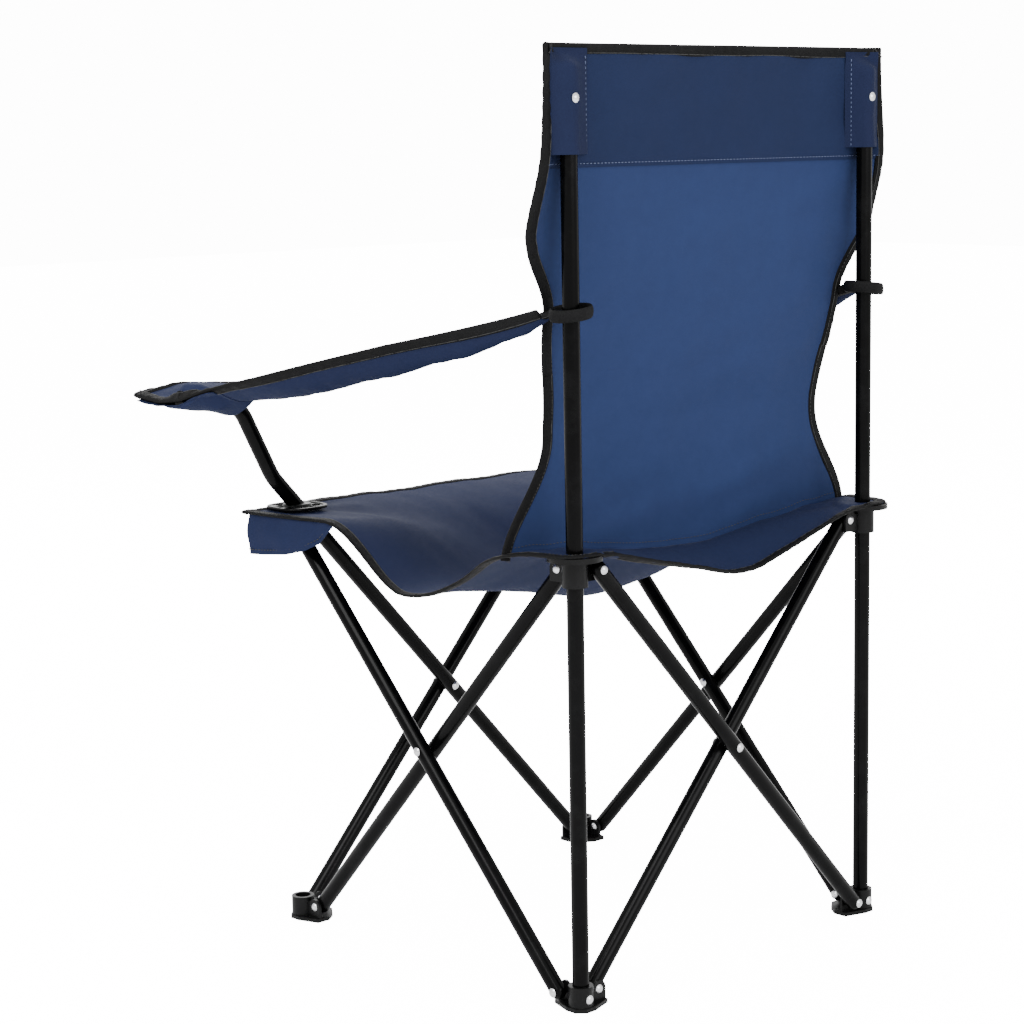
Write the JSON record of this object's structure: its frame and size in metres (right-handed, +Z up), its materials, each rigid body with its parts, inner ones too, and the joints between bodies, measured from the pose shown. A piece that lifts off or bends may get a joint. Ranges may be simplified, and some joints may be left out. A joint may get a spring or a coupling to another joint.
{
  "type": "folding camp chair",
  "caption": "Folding quad chair with crossed round tubes, plastic corner joints, a slung fabric seat and back, and fabric armrests on bent posts; it gathers to an upright bundle.",
  "frame": {"origin": "On the floor, under the centre of the open chair's bounding box.", "axes": "+Z up, front of the chair towards -Y, the sitter's left towards +X."},
  "size_m": [0.704, 0.5206, 0.9],
  "materials": {
    "black_tube": "gloss black powder coat",
    "black_plastic": "moulded, satin",
    "rivet_metal": "zinc plated",
    "navy_cloth": "woven polyester",
    "black_tape": "woven binding tape"
  },
  "bodies": {
    "rear_left_post": {"upright_left": "black_tube", "cap_left": "black_plastic", "foot_rear_left": "black_plastic", "rivets_post_left": "rivet_metal", "back_upper": "navy_cloth", "back_tape_upper": "black_tape", "head_band": "navy_cloth", "sleeve_left": "navy_cloth", "arm_ring_left": "black_plastic"},
    "left_tube_b": {"tube_left_b": "black_tube", "rivet_left": "rivet_metal"},
    "left_tube_a": {"tube_left_a": "black_tube"},
    "front_left_foot": {"foot_front_left": "black_plastic", "rivets_foot_left": "rivet_metal"},
    "front_left_hub": {"hub_left": "black_plastic", "rivets_hub_left": "rivet_metal", "flap_left": "navy_cloth"},
    "front_tube_a": {"tube_front_a": "black_tube", "rivets_front_a": "rivet_metal", "seat_plate_left": "black_plastic"},
    "front_tube_b": {"tube_front_b": "black_tube", "rivet_front_b": "rivet_metal", "seat_plate_right": "black_plastic"},
    "left_armrest": {"armrest_left": "navy_cloth", "arm_tape_left": "black_tape"},
    "right_armrest": {"armrest_right": "navy_cloth", "arm_tape_right": "black_tape"},
    "seat_front_half": {"seat_front": "navy_cloth", "seat_tape_front": "black_tape"},
    "rear_tube_b": {"tube_rear_b": "black_tube", "rivet_rear": "rivet_metal"},
    "rear_tube_a": {"tube_rear_a": "black_tube"},
    "left_slider": {"slider_left": "black_plastic", "rivets_slider_left": "rivet_metal", "seat_ring_left": "black_plastic"},
    "seat_rear_half": {"seat_rear": "navy_cloth", "seat_tape_rear": "black_tape"},
    "rear_right_post": {"upright_right": "black_tube", "cap_right": "black_plastic", "foot_rear_right": "black_plastic", "rivets_post_right": "rivet_metal", "sleeve_right": "navy_cloth", "arm_ring_right": "black_plastic"},
    "right_slider": {"slider_right": "black_plastic", "rivets_slider_right": "rivet_metal", "seat_ring_right": "black_plastic"},
    "right_tube_b": {"tube_right_b": "black_tube", "rivet_right": "rivet_metal"},
    "right_tube_a": {"tube_right_a": "black_tube"},
    "front_right_foot": {"foot_front_right": "black_plastic", "rivets_foot_right": "rivet_metal"},
    "front_right_hub": {"hub_right": "black_plastic", "rivets_hub_right": "rivet_metal", "flap_right": "navy_cloth"},
    "back_lower_half": {"back_lower": "navy_cloth", "back_tape_lower": "black_tape"}
  },
  "joints": [
    {"name": "fold", "type": "hinge", "parent": "rear_left_post", "child": "left_tube_b", "pos_m": [0.2186, 0.21225, 0.015], "axis": [-1, 0, 0], "range_deg": [0, 36], "deforming": ["seat_front", "seat_tape_front", "seat_rear", "seat_tape_rear", "back_upper", "back_tape_upper", "back_lower", "back_tape_lower", "head_band", "armrest_left", "arm_tape_left", "armrest_right", "arm_tape_right", "flap_left", "flap_right", "sleeve_left", "sleeve_right"]},
    {"name": "left_crossing", "type": "hinge", "parent": "left_tube_b", "child": "left_tube_a", "pos_m": [0.21, 0.02425, 0.219], "axis": [1, 0, 0], "range_deg": [0, 72]},
    {"name": "front_left_foot_pivot", "type": "hinge", "parent": "left_tube_a", "child": "front_left_foot", "pos_m": [0.2014, -0.16375, 0.015], "axis": [-1, 0, 0], "range_deg": [0, 36]},
    {"name": "front_left_hub_pivot", "type": "hinge", "parent": "left_tube_b", "child": "front_left_hub", "pos_m": [0.2186, -0.16375, 0.423], "axis": [1, 0, 0], "range_deg": [0, 36]},
    {"name": "front_hub_tube_pivot", "type": "hinge", "parent": "front_left_hub", "child": "front_tube_a", "pos_m": [0.188, -0.17715, 0.423], "axis": [0, -1, 0], "range_deg": [0, 36]},
    {"name": "front_crossing", "type": "hinge", "parent": "front_tube_a", "child": "front_tube_b", "pos_m": [0, -0.18575, 0.219], "axis": [0, 1, 0], "range_deg": [0, 72]},
    {"name": "left_armrest_bend", "type": "hinge", "parent": "front_tube_a", "child": "left_armrest", "pos_m": [0.3, -0.17715, 0.573], "axis": [-0.6988, 0.7047, -0.1231], "range_deg": [0, 27.55]},
    {"name": "right_armrest_bend", "type": "hinge", "parent": "front_tube_b", "child": "right_armrest", "pos_m": [-0.3, -0.19435, 0.573], "axis": [-0.6988, -0.7047, 0.1231], "range_deg": [0, 27.55]},
    {"name": "seat_front_bend", "type": "hinge", "parent": "front_left_hub", "child": "seat_front_half", "pos_m": [0, -0.18075, 0.439], "axis": [-1, 0, 0], "range_deg": [0, 52.92]},
    {"name": "rear_foot_pivot", "type": "hinge", "parent": "rear_left_post", "child": "rear_tube_b", "pos_m": [0.188, 0.22565, 0.015], "axis": [0, 1, 0], "range_deg": [0, 36]},
    {"name": "rear_crossing", "type": "hinge", "parent": "rear_tube_b", "child": "rear_tube_a", "pos_m": [0, 0.23425, 0.219], "axis": [0, -1, 0], "range_deg": [0, 72]},
    {"name": "left_slider_pivot", "type": "hinge", "parent": "rear_tube_a", "child": "left_slider", "pos_m": [0.188, 0.24285, 0.423], "axis": [0, 1, 0], "range_deg": [0, 36]},
    {"name": "seat_rear_bend", "type": "hinge", "parent": "left_slider", "child": "seat_rear_half", "pos_m": [0, 0.23925, 0.439], "axis": [1, 0, 0], "range_deg": [0, 52.92]},
    {"name": "rear_right_foot_pivot", "type": "hinge", "parent": "rear_tube_a", "child": "rear_right_post", "pos_m": [-0.188, 0.24285, 0.015], "axis": [0, 1, 0], "range_deg": [0, 36]},
    {"name": "right_slider_pivot", "type": "hinge", "parent": "rear_tube_b", "child": "right_slider", "pos_m": [-0.188, 0.22565, 0.423], "axis": [0, -1, 0], "range_deg": [0, 36]},
    {"name": "right_foot_tube_pivot", "type": "hinge", "parent": "rear_right_post", "child": "right_tube_b", "pos_m": [-0.2014, 0.21225, 0.015], "axis": [-1, 0, 0], "range_deg": [0, 36]},
    {"name": "right_crossing", "type": "hinge", "parent": "right_tube_b", "child": "right_tube_a", "pos_m": [-0.21, 0.02425, 0.219], "axis": [1, 0, 0], "range_deg": [0, 72]},
    {"name": "front_right_foot_pivot", "type": "hinge", "parent": "right_tube_a", "child": "front_right_foot", "pos_m": [-0.2186, -0.16375, 0.015], "axis": [-1, 0, 0], "range_deg": [0, 36]},
    {"name": "front_right_hub_pivot", "type": "hinge", "parent": "right_tube_b", "child": "front_right_hub", "pos_m": [-0.2014, -0.16375, 0.423], "axis": [1, 0, 0], "range_deg": [0, 36]},
    {"name": "back_bend", "type": "hinge", "parent": "rear_left_post", "child": "back_lower_half", "pos_m": [0, 0.18825, 0.6], "axis": [1, 0, 0], "range_deg": [0, 9]}
  ],
  "couplings": [
    {"joint": "left_crossing", "follows": "fold", "ratio": 2},
    {"joint": "front_left_foot_pivot", "follows": "fold", "ratio": 1},
    {"joint": "front_left_hub_pivot", "follows": "fold", "ratio": 1},
    {"joint": "front_hub_tube_pivot", "follows": "fold", "ratio": 1},
    {"joint": "front_crossing", "follows": "fold", "ratio": 2},
    {"joint": "left_armrest_bend", "follows": "fold", "ratio": 0.7653},
    {"joint": "right_armrest_bend", "follows": "fold", "ratio": 0.7653},
    {"joint": "seat_front_bend", "follows": "fold", "ratio": 1.47},
    {"joint": "rear_foot_pivot", "follows": "fold", "ratio": 1},
    {"joint": "rear_crossing", "follows": "fold", "ratio": 2},
    {"joint": "left_slider_pivot", "follows": "fold", "ratio": 1},
    {"joint": "seat_rear_bend", "follows": "fold", "ratio": 1.47},
    {"joint": "rear_right_foot_pivot", "follows": "fold", "ratio": 1},
    {"joint": "right_slider_pivot", "follows": "fold", "ratio": 1},
    {"joint": "right_foot_tube_pivot", "follows": "fold", "ratio": 1},
    {"joint": "right_crossing", "follows": "fold", "ratio": 2},
    {"joint": "front_right_foot_pivot", "follows": "fold", "ratio": 1},
    {"joint": "front_right_hub_pivot", "follows": "fold", "ratio": 1},
    {"joint": "back_bend", "follows": "fold", "ratio": 0.25}
  ]
}
